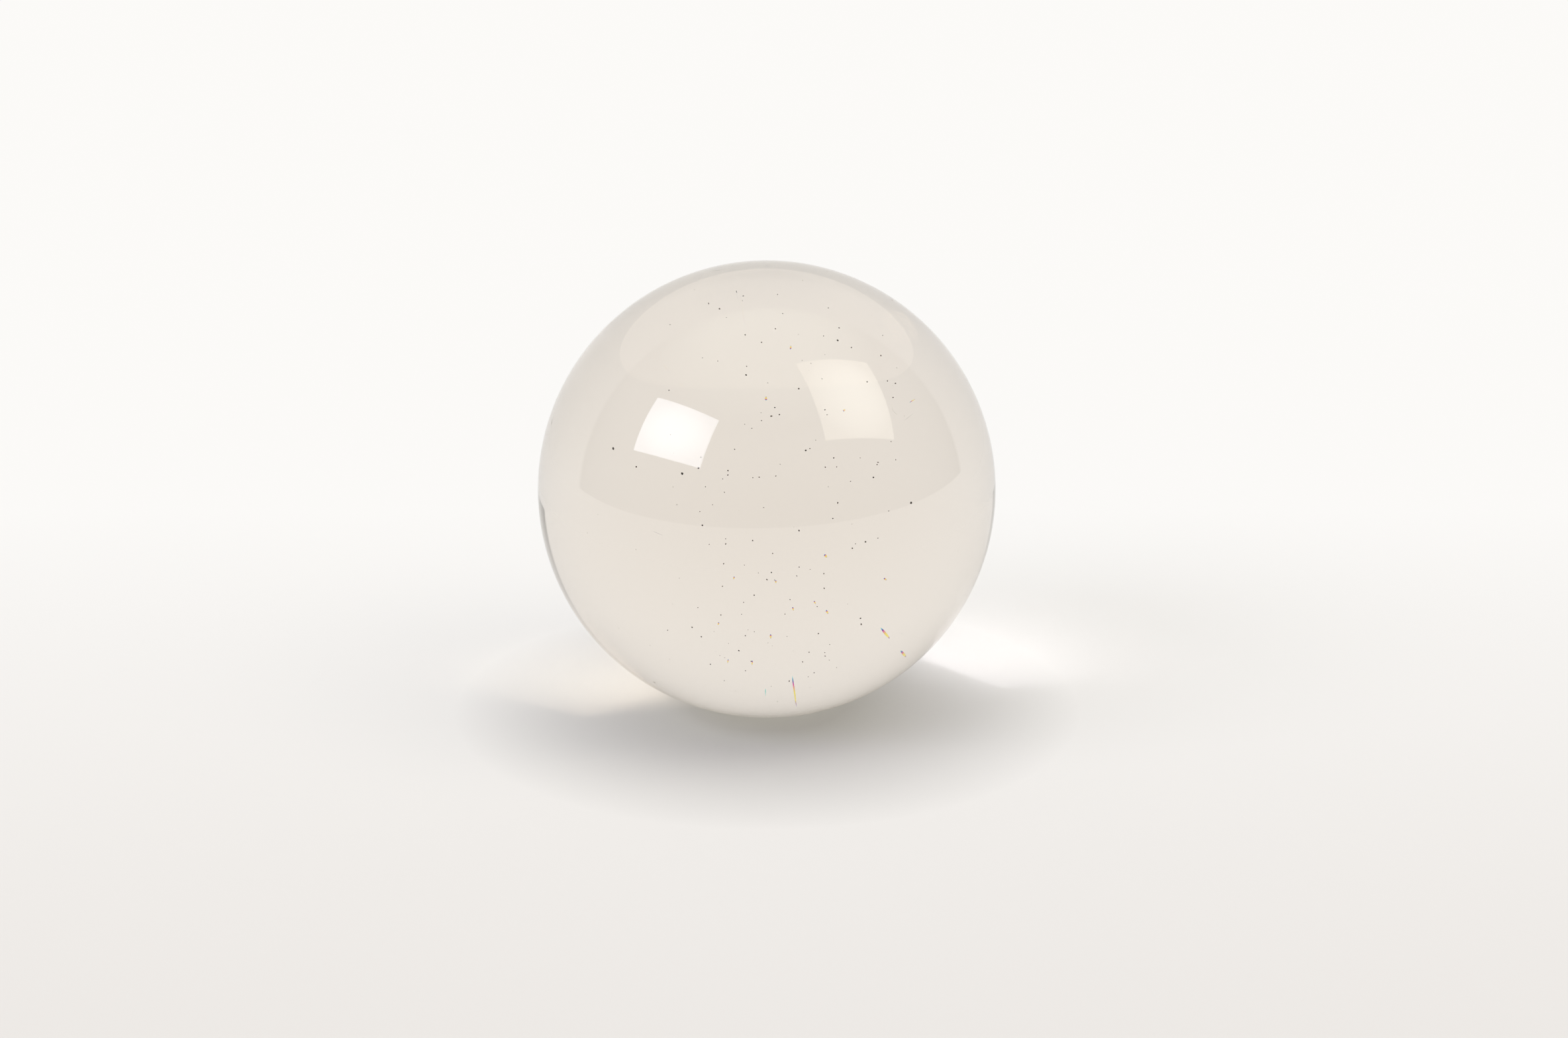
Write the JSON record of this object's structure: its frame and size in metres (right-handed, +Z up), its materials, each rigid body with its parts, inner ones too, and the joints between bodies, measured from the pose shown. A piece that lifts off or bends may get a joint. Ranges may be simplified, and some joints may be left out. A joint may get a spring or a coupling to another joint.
{
  "type": "clear solid ball",
  "caption": "Solid clear polished glass ball with a faint warm tint, which bends and inverts what is seen through it; stands on a small flat.",
  "frame": {"origin": "middle of the small flat that the ball stands on", "axes": "+Z up through the ball's centre and crown; -Y is the side that faces the viewer; +X is to the viewer's right"},
  "size_m": [0.1, 0.1, 0.0996],
  "materials": {
    "clear_glass": "polished, clear, faint warm tint, a few seeds"
  },
  "bodies": {
    "root": {"glass_ball": "clear_glass"}
  },
  "joints": []
}
